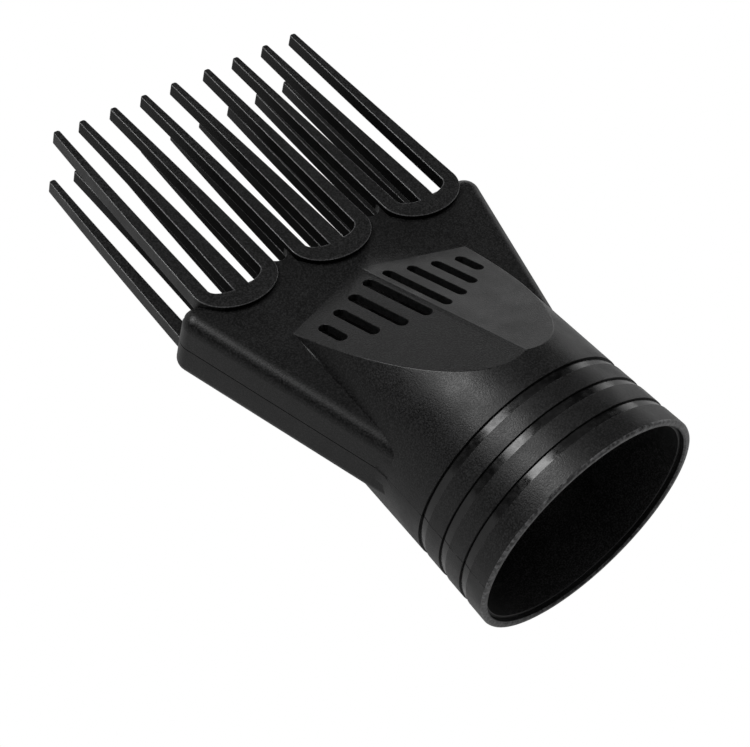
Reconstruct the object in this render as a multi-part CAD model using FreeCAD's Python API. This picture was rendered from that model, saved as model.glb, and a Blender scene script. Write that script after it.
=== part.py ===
"""Comb nozzle that pushes onto the barrel of a hair dryer.

Two half shells make a duct that starts as a round collar and flattens to a wide, thin mouth.
Three forked combs of three teeth each are staked to the outside of each shell at the mouth, and a
thin sleeve, trapped between the shells, lines the collar.

Frame: the origin is the centre of the gripping bore's open end, just inside the collar's rim. +Y
is the way the air flows, +Z is the side with the vents, and +X is to the right when looking along
the air flow. Millimetres.
"""
import FreeCAD, Part
import math
import os

Vector = FreeCAD.Vector

# --- driving dimensions, mm -------------------------------------------------------------------
# Collar
BARREL_RADIUS = 23.0            # dryer barrel that the liner grips
LINER_WALL = 0.6
LINER_END = 16.2                # the liner starts at y = 0
LINER_RIB_START = 6.4           # ring on the liner that the two shells trap
LINER_RIB_WIDTH = 1.6
LINER_RIB_HEIGHT = 0.3
RIM_Y = -1.15                   # the collar's open end, just ahead of the liner
COLLAR_RIM_RADIUS = 25.05
COLLAR_TAPER = 0.05             # loss of radius per mm away from the open end
RIM_ROUND = 0.5
BORE_CHAMFER = 0.3
GROOVE_COUNT = 3
GROOVE_FIRST = 5.5              # neck-side edge of the first groove
GROOVE_PITCH = 5.875
GROOVE_FLOOR = 1.9
GROOVE_DEEP = 0.35              # depth at the groove's neck side
GROOVE_SHALLOW = 0.1            # depth at its open side

# Neck
NECK_START_RADIUS = 24.2        # just behind the last groove
NECK_TAPER = 0.037
NECK_WALL = 1.8

# Flat duct
MOUTH_Y = 74.2
MOUTH_HALF_WIDTH = 37.5
FLARE = 0.3                     # gain of half width per mm along the air flow
FLAT_START = 19.2               # where the flat duct begins, hidden inside the neck
HALF_THICKNESS = 7.0
FACE_WALL = 1.7                 # top and bottom walls of the flat duct
SIDE_WALL = 2.0
LONG_EDGE_ROUND = 2.8
LOWER_EDGE_ROUND = 2.3          # the same edges on the lower shell
CORNER_ROUND = 3.2

# Raked facet: two planes that meet in a low ridge at x = 0
FACET_END = 64.9                # where the ridge meets the flat duct
FACET_SLOPE = 0.41
FACET_FALL = 0.12               # drop per mm away from the ridge
FACET_WALL = 1.95               # measured straight down

# Vent slots in the facet
VENT_COUNT = 8
VENT_PITCH = 4.85
VENT_WIDTH = 2.2
VENT_FAR_END = 61.75            # on the centre line; the row of ends follows the facet's edge
VENT_FAR_SLOPE = 0.31
VENT_NEAR_END = 43.8
VENT_NEAR_CURVE = 0.0212

# Combs
TEETH_PER_COMB = 3
ROOT_PITCH = 7.7
TIP_PITCH = 7.4
PLATE_RISE = 1.0                # height of the lobes above the shell
TOOTH_DEPTH = PLATE_RISE + FACE_WALL
LOBE_HALF_WIDTH = 9.25
LOBE_LENGTH = 6.4               # half axis of the lobe's elliptical back edge
LOBE_AXIS_Y = 74.4              # where the lobe's straight sides begin
SLOT_END_HALF_WIDTH = 6.1
SLOT_END_LENGTH = 2.4           # half axis of the slots' elliptical ends
CENTRE_TOOTH_WIDTH = 3.5
TIP_WIDTH = 1.4
TIP_Y = 123.0
TIP_ROUND = 0.5
ROOT_Y = 71.2                   # the teeth are let into the shell's edge from here

# Stakes that hold each comb to its shell
STAKE_RADIUS = 0.9
STAKE_X = 4.0
STAKE_Y = 70.2
STAKE_HEAD_RADIUS = 1.4
STAKE_HEAD_HEIGHT = 0.6

# Tongue along each side wall that lines the shells up
TONGUE_WIDTH = 0.7
TONGUE_HEIGHT = 0.8
TONGUE_START = 32.0
TONGUE_END = 68.0

LAST_GROOVE = GROOVE_FIRST + GROOVE_PITCH * (GROOVE_COUNT - 1)
FAR = 80.0                      # larger than any half size of the part
Y_AXIS = Vector(0, 1, 0)
Z_AXIS = Vector(0, 0, 1)
ORIGIN = Vector(0, 0, 0)


# --- shape helpers ----------------------------------------------------------------------------
def prism(points, depth):
    """Solid from a closed outline of points, pushed along the vector depth."""
    outline = Part.makePolygon(points + [points[0]])
    return Part.Face(outline).extrude(depth)


def block(low, high):
    size = high - low
    return Part.makeBox(size.x, size.y, size.z, low)


def is_upright(edge):
    return abs(edge.tangentAt(edge.FirstParameter).z) > 0.9


def mirrored_down(shape):
    """The same shape on the underside of the part."""
    return shape.mirror(ORIGIN, Z_AXIS)


def tube(outer, inner, start, end):
    """Ring about the Y axis."""
    length = end - start
    base = Vector(0, start, 0)
    return Part.makeCylinder(outer, length, base, Y_AXIS).cut(
        Part.makeCylinder(inner, length, base, Y_AXIS))


def half_width(y):
    """Half width of the flat duct's outside."""
    return MOUTH_HALF_WIDTH - FLARE * (MOUTH_Y - y)


def collar_radius(y):
    return COLLAR_RIM_RADIUS - COLLAR_TAPER * (y - RIM_Y)


def neck_radius(y):
    return NECK_START_RADIUS - NECK_TAPER * (y - LAST_GROOVE)


def facet_height(x, y):
    """Height of the raked facet above the part's middle plane."""
    return HALF_THICKNESS + FACET_SLOPE * (FACET_END - y) - FACET_FALL * abs(x)


# --- duct -------------------------------------------------------------------------------------
def flat_duct(inset_x, inset_z, end, rounded):
    """Flat, flared part of the duct, or its hollow when inset."""
    top = HALF_THICKNESS - inset_z
    wide = half_width(end) - inset_x
    narrow = half_width(FLAT_START) - inset_x
    corners = [Vector(-narrow, FLAT_START, -top), Vector(narrow, FLAT_START, -top),
               Vector(wide, end, -top), Vector(-wide, end, -top)]
    body = prism(corners, Vector(0, 0, 2 * top))
    if not rounded:
        return body
    corner_edges = [edge for edge in body.Edges
                    if is_upright(edge) and edge.CenterOfMass.y > MOUTH_Y - 1]
    body = body.makeFillet(CORNER_ROUND, corner_edges)
    for side, radius in ((1, LONG_EDGE_ROUND), (-1, LOWER_EDGE_ROUND)):
        long_edges = [edge for edge in body.Edges
                      if abs(edge.CenterOfMass.z - side * top) < 0.01
                      and abs(edge.CenterOfMass.x) > 10]
        body = body.makeFillet(radius, long_edges)
    return body


def facet_wedge(drop):
    """Everything below the raked facet, above a plane far under it."""
    length = 2 * FAR
    side = FAR / 2
    eave = facet_height(side, 0) - drop
    ridge = facet_height(0, 0) - drop
    section = [Vector(-side, 0, -FAR), Vector(side, 0, -FAR), Vector(side, 0, eave),
               Vector(0, 0, ridge), Vector(-side, 0, eave)]
    return prism(section, Vector(0, length, -FACET_SLOPE * length))


def neck(inset, drop):
    """Round neck, cut by the facet above and by its mirror image below."""
    length = FACET_END - LAST_GROOVE
    cone = Part.makeCone(neck_radius(LAST_GROOVE) - inset, neck_radius(FACET_END) - inset, length,
                         Vector(0, LAST_GROOVE, 0), Y_AXIS)
    wedge = facet_wedge(drop)
    return cone.common(wedge).common(mirrored_down(wedge))


def collar():
    """Grooved collar, hollow, turned about the Y axis."""
    bore = BARREL_RADIUS + LINER_WALL
    rim = COLLAR_RIM_RADIUS
    points = [(bore, RIM_Y + BORE_CHAMFER), (bore + BORE_CHAMFER, RIM_Y), (rim - RIM_ROUND, RIM_Y),
              (rim - 0.3 * RIM_ROUND, RIM_Y + 0.3 * RIM_ROUND), (rim, RIM_Y + RIM_ROUND)]
    for i in range(GROOVE_COUNT):
        neck_side = GROOVE_FIRST + i * GROOVE_PITCH
        open_side = neck_side - GROOVE_FLOOR
        points.append((collar_radius(open_side), open_side))
        points.append((collar_radius(open_side) - GROOVE_SHALLOW, open_side))
        points.append((collar_radius(neck_side) - GROOVE_DEEP, neck_side))
        if i < GROOVE_COUNT - 1:
            points.append((collar_radius(neck_side), neck_side))
    end = neck_side + 1.0
    points.append((neck_radius(neck_side), neck_side))
    points.append((neck_radius(end), end))
    points.append((neck_radius(end) - NECK_WALL, end))
    points.append((neck_radius(LINER_END) - NECK_WALL, LINER_END))
    points.append((bore, LINER_END))
    outline = [Vector(r, y, 0) for r, y in points]
    face = Part.Face(Part.makePolygon(outline + [outline[0]]))
    ring = face.revolve(ORIGIN, Y_AXIS, 360)
    rib_end = LINER_RIB_START + LINER_RIB_WIDTH
    return ring.cut(tube(bore + LINER_RIB_HEIGHT, bore - 1, LINER_RIB_START, rib_end))


def duct():
    """Whole duct, before it is split into its two shells."""
    outside = neck(0, 0).fuse(flat_duct(0, 0, MOUTH_Y, True))
    hollow = neck(NECK_WALL, FACET_WALL).fuse(flat_duct(SIDE_WALL, FACE_WALL, MOUTH_Y + 1, False))
    return outside.cut(hollow).fuse(collar()).removeSplitter()


def vents():
    """Round-ended slots of the facet, as cutters."""
    cutters = []
    radius = VENT_WIDTH / 2
    for i in range(VENT_COUNT):
        x = (i - (VENT_COUNT - 1) / 2) * VENT_PITCH
        near = VENT_NEAR_END + VENT_NEAR_CURVE * x * x + radius
        far = VENT_FAR_END - VENT_FAR_SLOPE * abs(x) - radius
        slot = block(Vector(x - radius, near, 0), Vector(x + radius, far, FAR / 2))
        for y in (near, far):
            slot = slot.fuse(Part.makeCylinder(radius, FAR / 2, Vector(x, y, 0), Z_AXIS))
        cutters.append(slot)
    return cutters


def tongues():
    """Two ridges along the side walls, standing up from the middle plane."""
    ridges = []
    for side in (-1, 1):
        corners = []
        for y, offset in ((TONGUE_START, -1), (TONGUE_END, -1), (TONGUE_END, 1),
                          (TONGUE_START, 1)):
            middle = half_width(y) - SIDE_WALL / 2
            corners.append(Vector(side * (middle + offset * TONGUE_WIDTH / 2), y, 0))
        ridges.append(prism(corners, Vector(0, 0, TONGUE_HEIGHT)))
    return ridges


def webs():
    """Gussets of the upper wall between the combs, hollowed round where they meet the teeth."""
    bottom = HALF_THICKNESS - FACE_WALL
    half_gap = TEETH_PER_COMB * ROOT_PITCH / 2 - LOBE_HALF_WIDTH
    pieces = []
    for side in (-1, 1):
        middle = side * TEETH_PER_COMB * ROOT_PITCH / 2
        low = Vector(middle - half_gap, MOUTH_Y - LONG_EDGE_ROUND, bottom)
        high = Vector(middle + half_gap, MOUTH_Y + half_gap, HALF_THICKNESS)
        hollow = Part.makeCylinder(half_gap, FACE_WALL, Vector(middle, MOUTH_Y + half_gap, bottom),
                                   Z_AXIS)
        pieces.append(block(low, high).cut(hollow))
    return pieces


# --- combs ------------------------------------------------------------------------------------
def tooth_outline(index, centre):
    """Corners of one tooth in plan; index counts teeth across the row from the middle one."""
    in_comb = round(index - centre * TEETH_PER_COMB)
    comb_x = centre * TEETH_PER_COMB * ROOT_PITCH
    if in_comb == 0:
        left = comb_x - CENTRE_TOOTH_WIDTH / 2
        right = comb_x + CENTRE_TOOTH_WIDTH / 2
    elif in_comb < 0:
        left = comb_x - LOBE_HALF_WIDTH
        right = comb_x - SLOT_END_HALF_WIDTH
    else:
        left = comb_x + SLOT_END_HALF_WIDTH
        right = comb_x + LOBE_HALF_WIDTH
    tip_x = index * TIP_PITCH
    return [(left, ROOT_Y), (right, ROOT_Y), (right, LOBE_AXIS_Y),
            (tip_x + TIP_WIDTH / 2, TIP_Y), (tip_x - TIP_WIDTH / 2, TIP_Y), (left, LOBE_AXIS_Y)]


def tooth(index, centre):
    bottom = HALF_THICKNESS - FACE_WALL
    corners = [Vector(x, y, bottom) for x, y in tooth_outline(index, centre)]
    solid = prism(corners, Vector(0, 0, TOOTH_DEPTH))
    tip_edges = [edge for edge in solid.Edges
                 if is_upright(edge) and edge.CenterOfMass.y > TIP_Y - 0.1]
    return solid.makeFillet(TIP_ROUND, tip_edges)


def half_ellipse_plate(x, half_x, half_y, height):
    """Plate under the lobe's axis line, with a half elliptical edge."""
    base = HALF_THICKNESS
    curve = Part.Ellipse(Vector(x + half_x, LOBE_AXIS_Y, base),
                         Vector(x, LOBE_AXIS_Y - half_y, base), Vector(x, LOBE_AXIS_Y, base))
    disc = Part.Face(Part.Wire(curve.toShape())).extrude(Vector(0, 0, height))
    below = block(Vector(x - FAR, LOBE_AXIS_Y - FAR, 0), Vector(x + FAR, LOBE_AXIS_Y, FAR))
    return disc.common(below)


def stake(x):
    """Peg through the shell, with its head formed over on the inside."""
    top = HALF_THICKNESS
    inside = HALF_THICKNESS - FACE_WALL
    peg = Part.makeCylinder(STAKE_RADIUS, top - inside, Vector(x, STAKE_Y, inside), Z_AXIS)
    head = Part.makeCone(STAKE_RADIUS, STAKE_HEAD_RADIUS, STAKE_HEAD_HEIGHT,
                         Vector(x, STAKE_Y, inside - STAKE_HEAD_HEIGHT), Z_AXIS)
    return peg.fuse(head)


def comb(centre):
    """One forked comb of the upper row; centre is -1, 0 or 1 for left, centre and right."""
    x = centre * TEETH_PER_COMB * ROOT_PITCH
    lobe = half_ellipse_plate(x, LOBE_HALF_WIDTH, LOBE_LENGTH, PLATE_RISE)
    lobe = lobe.cut(half_ellipse_plate(x, SLOT_END_HALF_WIDTH, SLOT_END_LENGTH, PLATE_RISE))
    reach = TEETH_PER_COMB // 2
    pieces = []
    for step in range(-reach, reach + 1):
        pieces.append(tooth(centre * TEETH_PER_COMB + step, centre))
    for side in (-1, 1):
        pieces.append(stake(x + side * STAKE_X))
    # The teeth stop at the lobe's edge where the lobe is narrower than they are
    outline = half_ellipse_plate(x, LOBE_HALF_WIDTH, LOBE_LENGTH, FAR)
    deep_outline = outline.fuse(outline.translated(Vector(0, 0, -FAR / 2)))
    ahead = block(Vector(-FAR, LOBE_AXIS_Y, -FAR), Vector(FAR, 2 * FAR, FAR))
    keep = deep_outline.fuse(ahead)
    return lobe.multiFuse(pieces).common(keep).removeSplitter()


# --- assembly ---------------------------------------------------------------------------------
def liner():
    """Sleeve that grips the dryer's barrel, with a ring that the shells trap."""
    outer = BARREL_RADIUS + LINER_WALL
    sleeve = tube(outer, BARREL_RADIUS, 0, LINER_END)
    rib_end = LINER_RIB_START + LINER_RIB_WIDTH
    return sleeve.fuse(tube(outer + LINER_RIB_HEIGHT, BARREL_RADIUS, LINER_RIB_START, rib_end))


def build_nodes():
    """Every sub-part by name."""
    whole = duct()
    above = block(Vector(-FAR, -FAR, 0), Vector(FAR, 2 * FAR, FAR))
    below = block(Vector(-FAR, -FAR, -FAR), Vector(FAR, 2 * FAR, 0))
    upper_combs = {}
    for name, centre in (("left", -1), ("centre", 0), ("right", 1)):
        upper_combs[name] = comb(centre)
    lower_combs = {name: mirrored_down(shape) for name, shape in upper_combs.items()}

    upper = whole.common(above).fuse(webs()).cut(vents())
    upper = upper.cut(list(upper_combs.values())).cut(tongues())
    lower = whole.common(below).fuse([mirrored_down(web) for web in webs()])
    lower = lower.cut(list(lower_combs.values())).fuse(tongues())
    nodes = {"upper_shell": upper.removeSplitter(), "lower_shell": lower.removeSplitter(),
             "collar_liner": liner().removeSplitter()}
    for name, shape in upper_combs.items():
        nodes["upper_comb_" + name] = shape
    for name, shape in lower_combs.items():
        nodes["lower_comb_" + name] = shape
    return nodes


os.makedirs("parts", exist_ok=True)
for node, shape in build_nodes().items():
    solids = shape.Solids
    box = shape.BoundBox
    print(node, "valid", shape.isValid(), "solids", len(solids), "volume", round(shape.Volume, 1),
          "box", [round(v, 2) for v in (box.XMin, box.XMax, box.YMin, box.YMax, box.ZMin, box.ZMax)])
    shape.exportStep("parts/" + node + ".step")
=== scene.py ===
# Looks of a comb nozzle for a hair dryer, built around its imported CAD model. Every piece starts as
# a copy of its CAD node's mesh, which gets rounded edges, slightly leaning teeth, small moulding
# marks and a moulded plastic surface. Painted shade darkens the parting line's gap and the teeth's
# facing walls; painted light brightens the combs' edges, the rim and the teeth's walls near the
# tips.
# Lengths are in metres, with MM for readable sizes.
import math

import bmesh
import bpy
from mathutils import Matrix, Vector


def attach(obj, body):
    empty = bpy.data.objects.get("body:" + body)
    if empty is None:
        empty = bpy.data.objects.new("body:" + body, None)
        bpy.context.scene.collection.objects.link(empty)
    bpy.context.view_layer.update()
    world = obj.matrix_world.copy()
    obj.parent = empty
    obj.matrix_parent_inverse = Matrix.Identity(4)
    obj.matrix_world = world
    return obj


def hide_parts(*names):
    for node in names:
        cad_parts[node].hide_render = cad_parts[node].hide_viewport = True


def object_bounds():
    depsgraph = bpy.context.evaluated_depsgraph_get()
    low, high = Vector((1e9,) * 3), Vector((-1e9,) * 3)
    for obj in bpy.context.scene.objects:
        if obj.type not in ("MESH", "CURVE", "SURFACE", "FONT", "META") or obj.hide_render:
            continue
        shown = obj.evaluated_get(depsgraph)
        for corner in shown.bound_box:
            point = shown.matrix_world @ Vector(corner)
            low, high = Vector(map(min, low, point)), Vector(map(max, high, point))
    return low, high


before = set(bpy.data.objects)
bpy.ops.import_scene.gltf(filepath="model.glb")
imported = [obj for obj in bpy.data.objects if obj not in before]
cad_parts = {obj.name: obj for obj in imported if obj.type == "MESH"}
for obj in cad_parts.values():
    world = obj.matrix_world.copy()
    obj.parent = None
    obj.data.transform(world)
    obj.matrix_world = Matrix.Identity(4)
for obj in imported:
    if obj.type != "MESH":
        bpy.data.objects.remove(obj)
CAD_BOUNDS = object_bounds()

MM = 0.001

# --- sizes shared with the CAD model -----------------------------------------------------------
RIM_Y = -1.15 * MM
RIM_ROUND = 0.5 * MM
COLLAR_RIM_RADIUS = 25.05 * MM
COLLAR_TAPER = 0.05             # loss of radius per unit of length away from the rim
GROOVE_COUNT = 3
GROOVE_FIRST = 5.5 * MM
GROOVE_PITCH = 5.875 * MM
GROOVE_FLOOR = 1.9 * MM
HALF_THICKNESS = 7.0 * MM       # of the flat duct
LOBE_AXIS_Y = 74.4 * MM
TIP_Y = 123.0 * MM
TIP_PITCH = 7.4 * MM
ROOT_PITCH = 7.7 * MM
TEETH_PER_COMB = 3
COMBS_PER_ROW = 3

# --- mesh work ---------------------------------------------------------------------------------
WELD = 0.0005 * MM
FLAT_ANGLE = math.radians(0.1)
CREASE_ANGLE = math.radians(9)
SHADE_ANGLE = math.radians(50)
SHADE_WEIGHT = 80

# Material indices. Every piece has the first two, then a shell has three more and a comb one.
PLAIN = 0
# Rounded edges: wear, and on the combs a painted highlight along them
EDGE_WEAR_AND_HIGHLIGHT = 1
GROOVE = 2
RIM = 3
# the parting line's gap, with painted shade
PARTING = 4
# painted shade on the teeth's walls that face each other, with painted light near the tips
PAINTED_SHADE_WALL = 2


def cad_copy(node):
    """The node's mesh as a fresh bmesh. Its seams are the borders between the CAD's faces."""
    mesh = bmesh.new()
    mesh.from_mesh(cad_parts[node].data)
    for edge in mesh.edges:
        edge.seam = edge.is_boundary
    bmesh.ops.remove_doubles(mesh, verts=mesh.verts, dist=WELD)
    bmesh.ops.dissolve_limit(mesh, angle_limit=FLAT_ANGLE, verts=mesh.verts, edges=mesh.edges,
                             delimit={"SEAM"})
    return mesh


def round_edges(mesh, edges, radius, segments=3, material=EDGE_WEAR_AND_HIGHLIGHT):
    """Rounds the edges. The new faces' borders are no seams, so they aren't rounded again."""
    made = bmesh.ops.bevel(mesh, geom=edges, offset=radius, offset_type="OFFSET",
                           segments=segments, profile=0.5, affect="EDGES", clamp_overlap=False,
                           material=material, miter_outer="SHARP", miter_inner="SHARP")
    for face in made["faces"]:
        for edge in face.edges:
            edge.seam = False


def creases(mesh):
    """Borders between CAD faces that meet at an angle and stand proud, not hollow ones."""
    return [edge for edge in mesh.edges
            if edge.seam and len(edge.link_faces) == 2
            and edge.calc_face_angle_signed() > CREASE_ANGLE]


def side_joins(mesh):
    """The shallow hollow borders where the duct's flat sides run out of the neck."""
    joins = []
    for edge in mesh.edges:
        if not edge.seam or len(edge.link_faces) != 2:
            continue
        on_side = all(abs(vert.co.z) < SIDE_JOIN_TOP for vert in edge.verts)
        if on_side and -SIDE_JOIN_ANGLE < edge.calc_face_angle_signed() < -SHALLOWEST_JOIN:
            joins.append(edge)
    return joins


def finish_piece(mesh, name, node, materials):
    """Turns the bmesh into an object that stands for its CAD node."""
    data = bpy.data.meshes.new(name)
    bmesh.ops.recalc_face_normals(mesh, faces=mesh.faces)
    for face in mesh.faces:
        face.smooth = True
    mesh.edges.index_update()
    hollow_creases = [edge.index for edge in mesh.edges
                      if edge.seam and edge.calc_face_angle(0.0) > CREASE_ANGLE]
    mesh.to_mesh(data)
    mesh.free()
    for material in materials:
        data.materials.append(material)
    data.set_sharp_from_angle(angle=SHADE_ANGLE)
    for index in hollow_creases:
        data.edges[index].use_edge_sharp = True
    piece = bpy.data.objects.new(name, data)
    bpy.context.scene.collection.objects.link(piece)
    weighted = piece.modifiers.new("even_shading", "WEIGHTED_NORMAL")
    weighted.keep_sharp = True
    weighted.weight = SHADE_WEIGHT
    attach(piece, "root")
    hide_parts(node)
    return piece


# --- materials ---------------------------------------------------------------------------------
PLASTIC_IOR = 1.45
PATCH_SIZE = 6.0 * MM
PATCH_RELIEF = 0.02 * MM
PATCH_BUMP = 0.5
PATCH_NOISE = (0.3, 0.7)        # noise values between which the patches change gloss
GRAIN_NOISE = (0.35, 0.65)      # the same for single grains
SPECKLE_NOISE = (0.42, 0.68)    # noise values between which grains turn from dark to light
BLUE_TINT = 1.02                # black plastic is very slightly blue
PAINTED_TIP_LIGHT_START = 100.0 * MM    # where painted light starts to brighten the slot walls towards the tips


def node_tree(material):
    material.use_nodes = True
    tree = material.node_tree
    tree.nodes.clear()
    return tree


def add(tree, kind, **values):
    node = tree.nodes.new(kind)
    for key, value in values.items():
        setattr(node, key, value)
    return node


def noise(tree, coordinates, size, detail=2.0, roughness=0.5):
    """Noise whose features are about the given size across."""
    texture = add(tree, "ShaderNodeTexNoise")
    texture.inputs["Scale"].default_value = 1.0 / size
    texture.inputs["Detail"].default_value = detail
    texture.inputs["Roughness"].default_value = roughness
    tree.links.new(coordinates, texture.inputs["Vector"])
    return texture.outputs["Fac"]


def ramp(tree, value, low, high, out_low, out_high):
    mapped = add(tree, "ShaderNodeMapRange", clamp=True)
    mapped.inputs["From Min"].default_value = low
    mapped.inputs["From Max"].default_value = high
    mapped.inputs["To Min"].default_value = out_low
    mapped.inputs["To Max"].default_value = out_high
    tree.links.new(value, mapped.inputs["Value"])
    return mapped.outputs["Result"]


def bump(tree, height, distance, strength=1.0, normal=None):
    node = add(tree, "ShaderNodeBump")
    node.inputs["Strength"].default_value = strength
    node.inputs["Distance"].default_value = distance
    tree.links.new(height, node.inputs["Height"])
    if normal is not None:
        tree.links.new(normal, node.inputs["Normal"])
    return node.outputs["Normal"]


def moulded_plastic(name, shade, roughness, grain_height, grain_size=0.30 * MM, spread=0.06,
                    gloss=0.36, speckle=0.8, painted_tip_light=None):
    """Black moulded plastic with a fine spark-eroded grain in tone, gloss and relief, and slow
    patches in gloss and relief.

    speckle is how far single grains stray from the shade, as a share of it. With a tip shade given,
    painted light brightens the tone along a tooth, up to that shade at the tip.
    """
    material = bpy.data.materials.new(name)
    tree = node_tree(material)
    output = add(tree, "ShaderNodeOutputMaterial")
    shader = add(tree, "ShaderNodeBsdfPrincipled")
    tree.links.new(shader.outputs["BSDF"], output.inputs["Surface"])
    place = add(tree, "ShaderNodeTexCoord").outputs["Object"]

    grain = noise(tree, place, grain_size, detail=2.0, roughness=0.6)
    patches = noise(tree, place, PATCH_SIZE, detail=4.0, roughness=0.55)

    colour = add(tree, "ShaderNodeMix", data_type="RGBA")
    dark = shade * max(0.0, 1 - speckle)
    light = shade * (1 + 2 * speckle)
    colour.inputs["A"].default_value = (dark, dark, dark * BLUE_TINT, 1)
    colour.inputs["B"].default_value = (light, light, light * BLUE_TINT, 1)
    tree.links.new(ramp(tree, grain, *SPECKLE_NOISE, 0.0, 1.0), colour.inputs["Factor"])
    if painted_tip_light is None:
        tree.links.new(colour.outputs["Result"], shader.inputs["Base Color"])
    else:
        # Painted light: the tone brightens along the tooth towards its tip.
        along = add(tree, "ShaderNodeSeparateXYZ")
        tree.links.new(place, along.inputs["Vector"])
        lighter = add(tree, "ShaderNodeMix", data_type="RGBA")
        fade = ramp(tree, along.outputs["Y"], PAINTED_TIP_LIGHT_START, TIP_Y, 0.0, 1.0)
        tree.links.new(fade, lighter.inputs["Factor"])
        tree.links.new(colour.outputs["Result"], lighter.inputs["A"])
        lighter.inputs["B"].default_value = (painted_tip_light, painted_tip_light, painted_tip_light, 1)
        tree.links.new(lighter.outputs["Result"], shader.inputs["Base Color"])

    fine = ramp(tree, grain, *GRAIN_NOISE, -spread, spread)
    slow = ramp(tree, patches, *PATCH_NOISE, roughness - spread, roughness + spread)
    total = add(tree, "ShaderNodeMath", operation="ADD", use_clamp=True)
    tree.links.new(fine, total.inputs[0])
    tree.links.new(slow, total.inputs[1])
    tree.links.new(total.outputs["Value"], shader.inputs["Roughness"])
    shader.inputs["IOR"].default_value = PLASTIC_IOR
    shader.inputs["Specular IOR Level"].default_value = gloss

    wavy = bump(tree, patches, PATCH_RELIEF, PATCH_BUMP)
    tree.links.new(bump(tree, grain, grain_height, 1.0, wavy), shader.inputs["Normal"])
    return material


SHELL_PLASTIC = moulded_plastic("shell_grain", 0.008, 0.40, 0.040 * MM)
SHELL_EDGE = moulded_plastic("shell_edge", 0.010, 0.34, 0.010 * MM, gloss=0.42, speckle=0.5)
GROOVE_PLASTIC = moulded_plastic("groove_gloss", 0.005, 0.20, 0.004 * MM, 1.3 * MM, 0.06, 0.45, 0.3)
# Partly scuffed, partly painted light: the rim is far brighter than the shell, standing in for its
# lit end face and the highlight along its edge.
RIM_SCUFF_AND_PAINTED_LIGHT = moulded_plastic("rim_scuffed_and_painted_light", 0.085, 0.34, 0.020 * MM, 0.9 * MM, 0.06, 0.6, 0.6)
# Painted shade: the parting line's gap is darker and duller than the plastic, standing in for the
# shade inside it.
PARTING_PAINTED_SHADE = moulded_plastic("parting_gap_painted_shade", 0.001, 0.60, 0.005 * MM, gloss=0.05)
COMB_PLASTIC = moulded_plastic("comb_grain", 0.0105, 0.40, 0.035 * MM)
# Painted highlight: the combs' rounded edges are far brighter and glossier than the plastic,
# standing in for the thin highlights along them.
COMB_EDGE_HIGHLIGHT = moulded_plastic("comb_edge_painted_highlight", 0.075, 0.26, 0.008 * MM, gloss=0.6, speckle=0.3)
# Painted shade: the teeth's facing walls are nearly black and dull, standing in for the shade
# between teeth; painted light brightens them towards the tips.
COMB_WALL_PAINTED_SHADE = moulded_plastic("comb_slot_wall_painted_shade_and_light", 0.002, 0.55, 0.020 * MM, gloss=0.05, painted_tip_light=0.034)
LINER_PLASTIC = moulded_plastic("liner_satin", 0.019, 0.50, 0.010 * MM, speckle=0.9)
LINER_EDGE = moulded_plastic("liner_edge", 0.030, 0.34, 0.005 * MM, gloss=0.5, speckle=0.5)


# --- shells and liner --------------------------------------------------------------------------
SHELL_EDGE_RADIUS = 0.14 * MM
FINE_EDGE_RADIUS = 0.045 * MM
LINER_EDGE_RADIUS = 0.12 * MM
SIDE_JOIN_RADIUS = 1.6 * MM
SIDE_JOIN_ANGLE = math.radians(30)
SHALLOWEST_JOIN = math.radians(3)
SIDE_JOIN_TOP = 3.9 * MM
RIDGE_RADIUS = 0.5 * MM
PARTING_GAP = 0.10 * MM
NECK_END = 28.0 * MM            # about where the flat duct's sides come out of the neck
GROOVE_DEPTHS = (0.1 * MM, 0.6 * MM)
ON_AXIS = 0.01 * MM
NEAR = 0.1 * MM


def in_groove_floor(point):
    """True on the glossy floor of one of the collar's grooves."""
    radius = math.hypot(point.x, point.z)
    surface = COLLAR_RIM_RADIUS - COLLAR_TAPER * (point.y - RIM_Y)
    if not GROOVE_DEPTHS[0] <= surface - radius <= GROOVE_DEPTHS[1]:
        return False
    for i in range(GROOVE_COUNT):
        neck_side = GROOVE_FIRST + i * GROOVE_PITCH
        if neck_side - GROOVE_FLOOR < point.y < neck_side:
            return True
    return False


def on_collar(edge):
    """True for the collar's own edges, which are finer than the rest."""
    last_groove = GROOVE_FIRST + (GROOVE_COUNT - 1) * GROOVE_PITCH
    return all(vert.co.y < last_groove + NEAR for vert in edge.verts)


def on_parting(edge):
    """True for the edges where the two shells meet."""
    return all(abs(vert.co.z) < PARTING_GAP for vert in edge.verts)


def on_ridge(edge):
    """True for the low ridge in the middle of a raked facet."""
    return all(abs(vert.co.x) < ON_AXIS and abs(vert.co.z) > HALF_THICKNESS
               and vert.co.y > NECK_END for vert in edge.verts)


def shell_material(face):
    """Material of a shell's face, from where it lies. Worn edges keep theirs on the duct."""
    middle = face.calc_center_median()
    groove_floor = in_groove_floor(middle)
    # The parting line keeps its painted shade on the duct and the groove floors.
    if face.material_index == PARTING and (middle.y > NECK_END or groove_floor):
        return PARTING
    if groove_floor:
        return GROOVE
    if middle.y < RIM_Y + RIM_ROUND:
        return RIM
    return EDGE_WEAR_AND_HIGHLIGHT if face.material_index == EDGE_WEAR_AND_HIGHLIGHT else PLAIN


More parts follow.
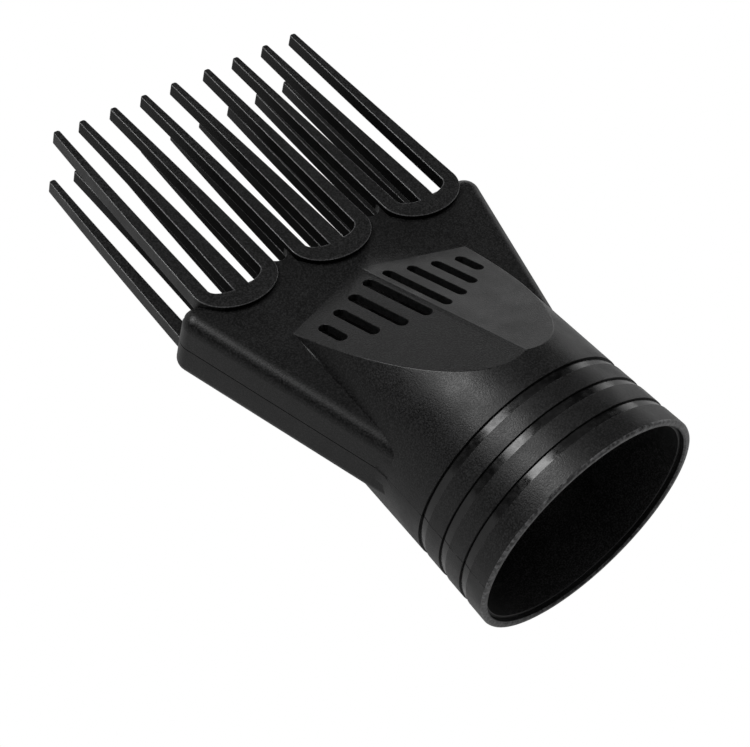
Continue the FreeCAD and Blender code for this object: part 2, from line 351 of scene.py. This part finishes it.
def make_shell(name):
    mesh = cad_copy(name)
    round_edges(mesh, side_joins(mesh), SIDE_JOIN_RADIUS, 4, PLAIN)
    round_edges(mesh, [edge for edge in creases(mesh) if on_ridge(edge)], RIDGE_RADIUS, 3, PLAIN)
    round_edges(mesh, [edge for edge in creases(mesh) if on_parting(edge)], PARTING_GAP, 2, PARTING)
    round_edges(mesh, [edge for edge in creases(mesh)
                       if not on_collar(edge) and not on_parting(edge)], SHELL_EDGE_RADIUS)
    round_edges(mesh, [edge for edge in creases(mesh)
                       if on_collar(edge) and not on_parting(edge)], FINE_EDGE_RADIUS, 2)
    for face in mesh.faces:
        face.material_index = shell_material(face)
    return finish_piece(mesh, name + "_moulding", name,
                        (SHELL_PLASTIC, SHELL_EDGE, GROOVE_PLASTIC, RIM_SCUFF_AND_PAINTED_LIGHT, PARTING_PAINTED_SHADE))


def make_liner():
    mesh = cad_copy("collar_liner")
    round_edges(mesh, creases(mesh), LINER_EDGE_RADIUS)
    return finish_piece(mesh, "collar_liner_sleeve", "collar_liner",
                        (LINER_PLASTIC, LINER_EDGE))


# --- combs -------------------------------------------------------------------------------------
COMB_EDGE_RADIUS = 0.16 * MM
BEND_CUTS = 10
TIP_CAP = 1.0 * MM              # the last stretch of a tooth, which keeps the plain finish
WALL_LEAN = 0.5                 # a side wall's normal is nearer to X than this
COMB_CENTRES = (("left", -1), ("centre", 0), ("right", 1))
# How far the tips lean sideways as moulded, as (last tooth of the group, lean), from the left
TIP_LEANS = {
    "upper": ((1, 0.6 * MM), (5, -0.8 * MM), (7, 0.1 * MM), (9, 0.35 * MM)),
    "lower": ((1, 0.7 * MM), (2, -0.8 * MM), (9, 1.05 * MM)),
}


def tooth_number(x, y, centre):
    """Which tooth of the row a point ahead of the mouth belongs to, 0 at the left."""
    share = (y - LOBE_AXIS_Y) / (TIP_Y - LOBE_AXIS_Y)
    pitch = ROOT_PITCH + (TIP_PITCH - ROOT_PITCH) * share
    number = round(x / pitch) + COMBS_PER_ROW * TEETH_PER_COMB // 2
    first = (centre + 1) * TEETH_PER_COMB
    return min(max(number, first), first + TEETH_PER_COMB - 1)


def tip_lean(row, number):
    """How far the tip of a tooth leans to the right; number is 0 at the left."""
    for last, lean in TIP_LEANS[row]:
        if number < last:
            return lean
    return 0.0


def bend_teeth(mesh, centre, row):
    step = (TIP_Y - LOBE_AXIS_Y) / BEND_CUTS
    for cut in range(BEND_CUTS):
        everything = list(mesh.verts) + list(mesh.edges) + list(mesh.faces)
        plane = Vector((0, LOBE_AXIS_Y + (cut + 0.5) * step, 0))
        bmesh.ops.bisect_plane(mesh, geom=everything, plane_co=plane, plane_no=(0, 1, 0))
    for vert in mesh.verts:
        if vert.co.y <= LOBE_AXIS_Y:
            continue
        share = (vert.co.y - LOBE_AXIS_Y) / (TIP_Y - LOBE_AXIS_Y)
        number = tooth_number(vert.co.x, vert.co.y, centre)
        vert.co.x += tip_lean(row, number) * share * share


def is_slot_wall(face, centre):
    """True for a tooth's side that faces another tooth."""
    middle = face.calc_center_median()
    if abs(face.normal.z) > WALL_LEAN or middle.y > TIP_Y - TIP_CAP:
        return False
    number = tooth_number(middle.x, middle.y, centre)
    outer_left = number == 0 and face.normal.x < -WALL_LEAN
    outer_right = number == COMBS_PER_ROW * TEETH_PER_COMB - 1 and face.normal.x > WALL_LEAN
    return not outer_left and not outer_right


def under_plate(edge):
    """True for edges hidden between a comb and the shell it sits on."""
    return any(abs(vert.co.z) < HALF_THICKNESS + NEAR / 2 and vert.co.y < LOBE_AXIS_Y
               for vert in edge.verts)


def make_comb(row, side, centre):
    node = f"{row}_comb_{side}"
    mesh = cad_copy(node)
    bend_teeth(mesh, centre, row)
    seen = [edge for edge in creases(mesh) if not under_plate(edge)]
    round_edges(mesh, seen, COMB_EDGE_RADIUS)
    mesh.normal_update()
    for face in mesh.faces:
        # The teeth's facing walls get the painted shade, which brightens towards the tips.
        if face.material_index == PLAIN and is_slot_wall(face, centre):
            face.material_index = PAINTED_SHADE_WALL
    return finish_piece(mesh, node + "_moulding", node,
                        (COMB_PLASTIC, COMB_EDGE_HIGHLIGHT, COMB_WALL_PAINTED_SHADE))


# --- camera, floor and light -------------------------------------------------------------------
CAMERA_AZIMUTH = math.radians(-51.59)
CAMERA_ELEVATION = math.radians(47.73)
CAMERA_ROLL = math.radians(15.06)
CAMERA_DISTANCE = 0.4137
CAMERA_TARGET = Vector((-5.40, 50.53, -6.13)) * MM
CAMERA_LENS = 105.03
SENSOR_WIDTH = 36.0
CLIP_START = 0.01
CLIP_END = 20


def make_camera():
    sin_a, cos_a = math.sin(CAMERA_AZIMUTH), math.cos(CAMERA_AZIMUTH)
    sin_e, cos_e = math.sin(CAMERA_ELEVATION), math.cos(CAMERA_ELEVATION)
    back = Vector((sin_a * cos_e, -cos_a * cos_e, sin_e))
    right = Vector((cos_a, sin_a, 0))
    up = back.cross(right)
    turned_right = math.cos(CAMERA_ROLL) * right + math.sin(CAMERA_ROLL) * up
    turned_up = math.cos(CAMERA_ROLL) * up - math.sin(CAMERA_ROLL) * right
    axes = Matrix((turned_right, turned_up, back)).transposed()
    data = bpy.data.cameras.new("camera")
    data.lens = CAMERA_LENS
    data.sensor_width = SENSOR_WIDTH
    data.clip_start = CLIP_START
    data.clip_end = CLIP_END
    camera = bpy.data.objects.new("camera", data)
    camera.matrix_world = Matrix.Translation(CAMERA_TARGET + back * CAMERA_DISTANCE) @ axes.to_4x4()
    bpy.context.scene.collection.objects.link(camera)
    bpy.context.scene.camera = camera


FLOOR_HALF_SIZE = 3.0
FLOOR_CELLS = 8
FLOOR_ALBEDO = 0.5
FLOOR_GLOW = 0.2                # light that a large white table gathers from all round
BACKDROP_WHITE = 1.0            # how the floor and the backdrop look when seen directly


def shown_white(tree, output, socket, lit):
    """Plain white to the eye, while the object is lit and reflected by the lit surface."""
    white = add(tree, "ShaderNodeEmission" if output.bl_idname == "ShaderNodeOutputMaterial"
                else "ShaderNodeBackground")
    white.inputs["Strength"].default_value = BACKDROP_WHITE
    mix = add(tree, "ShaderNodeMixShader")
    tree.links.new(add(tree, "ShaderNodeLightPath").outputs["Is Camera Ray"], mix.inputs["Fac"])
    tree.links.new(lit, mix.inputs[1])
    tree.links.new(white.outputs[0], mix.inputs[2])
    tree.links.new(mix.outputs["Shader"], output.inputs[socket])


def make_floor():
    lowest = CAD_BOUNDS[0].z
    mesh = bmesh.new()
    bmesh.ops.create_grid(mesh, x_segments=FLOOR_CELLS, y_segments=FLOOR_CELLS,
                          size=FLOOR_HALF_SIZE)
    for vert in mesh.verts:
        vert.co.z = lowest
    data = bpy.data.meshes.new("floor")
    mesh.to_mesh(data)
    mesh.free()
    floor = bpy.data.objects.new("floor", data)
    bpy.context.scene.collection.objects.link(floor)
    material = bpy.data.materials.new("floor_white")
    tree = node_tree(material)
    output = add(tree, "ShaderNodeOutputMaterial")
    table = add(tree, "ShaderNodeBsdfDiffuse")
    table.inputs["Color"].default_value = (FLOOR_ALBEDO, FLOOR_ALBEDO, FLOOR_ALBEDO, 1)
    glow = add(tree, "ShaderNodeEmission")
    glow.inputs["Strength"].default_value = FLOOR_GLOW
    both = add(tree, "ShaderNodeAddShader")
    tree.links.new(table.outputs["BSDF"], both.inputs[0])
    tree.links.new(glow.outputs["Emission"], both.inputs[1])
    shown_white(tree, output, "Surface", both.outputs["Shader"])
    data.materials.append(material)


KEY_SIDE = (-0.43, 0.51, 0.75)
KEY_DISTANCE = 0.9
KEY_SIZE = 0.38
KEY_WATTS = 4.8
STUDIO_DIM = 0.02
CEILING_GLOW = 0.65
CEILING_HEIGHTS = (0.6, 1.0)    # heights on the unit sphere between which the ceiling fades in
BACKDROP_SIDE = (0.86, 0.51, 0.0)
BACKDROP_GLOW = 1.9
BACKDROP_HEIGHTS = (0.14, 0.32)
BACKDROP_TURNS = (0.1, 0.8)     # cosines off BACKDROP_SIDE between which the backdrop fades in
BACKDROP_BEHIND = 0.08          # share of its glow on the other sides


def area_light(name, direction, distance, width, height, watts):
    """A soft box that faces the object's middle."""
    middle = (CAD_BOUNDS[0] + CAD_BOUNDS[1]) / 2
    away = Vector(direction).normalized()
    data = bpy.data.lights.new(name, "AREA")
    data.shape = "RECTANGLE"
    data.size = width
    data.size_y = height
    data.energy = watts
    light = bpy.data.objects.new(name, data)
    light.rotation_mode = "QUATERNION"
    light.rotation_quaternion = away.to_track_quat("Z", "Y")
    light.location = middle + away * distance
    bpy.context.scene.collection.objects.link(light)
    return light


def make_world():
    """Dim studio with a soft bright ceiling, and a white backdrop beyond the far right corner."""
    world = bpy.data.worlds.new("studio")
    bpy.context.scene.world = world
    world.use_nodes = True
    tree = world.node_tree
    tree.nodes.clear()
    output = add(tree, "ShaderNodeOutputWorld")
    studio = add(tree, "ShaderNodeBackground")
    direction = add(tree, "ShaderNodeTexCoord").outputs["Generated"]
    parts = add(tree, "ShaderNodeSeparateXYZ")
    tree.links.new(direction, parts.inputs["Vector"])
    ceiling = ramp(tree, parts.outputs["Z"], *CEILING_HEIGHTS, STUDIO_DIM, CEILING_GLOW)
    low = ramp(tree, parts.outputs["Z"], *BACKDROP_HEIGHTS, BACKDROP_GLOW, 0.0)
    towards = add(tree, "ShaderNodeVectorMath", operation="DOT_PRODUCT")
    tree.links.new(direction, towards.inputs[0])
    towards.inputs[1].default_value = BACKDROP_SIDE
    facing = ramp(tree, towards.outputs["Value"], *BACKDROP_TURNS, BACKDROP_BEHIND, 1.0)
    backdrop = add(tree, "ShaderNodeMath", operation="MULTIPLY")
    tree.links.new(low, backdrop.inputs[0])
    tree.links.new(facing, backdrop.inputs[1])
    level = add(tree, "ShaderNodeMath", operation="ADD")
    tree.links.new(ceiling, level.inputs[0])
    tree.links.new(backdrop.outputs["Value"], level.inputs[1])
    tree.links.new(level.outputs["Value"], studio.inputs["Strength"])
    shown_white(tree, output, "Surface", studio.outputs["Background"])


def make_lights():
    area_light("key", KEY_SIDE, KEY_DISTANCE, KEY_SIZE, KEY_SIZE, KEY_WATTS)
    make_world()


for shell in ("upper_shell", "lower_shell"):
    make_shell(shell)
make_liner()
for row in ("upper", "lower"):
    for side, centre in COMB_CENTRES:
        make_comb(row, side, centre)
make_camera()
make_floor()
make_lights()
bpy.context.scene.view_settings.view_transform = "Standard"
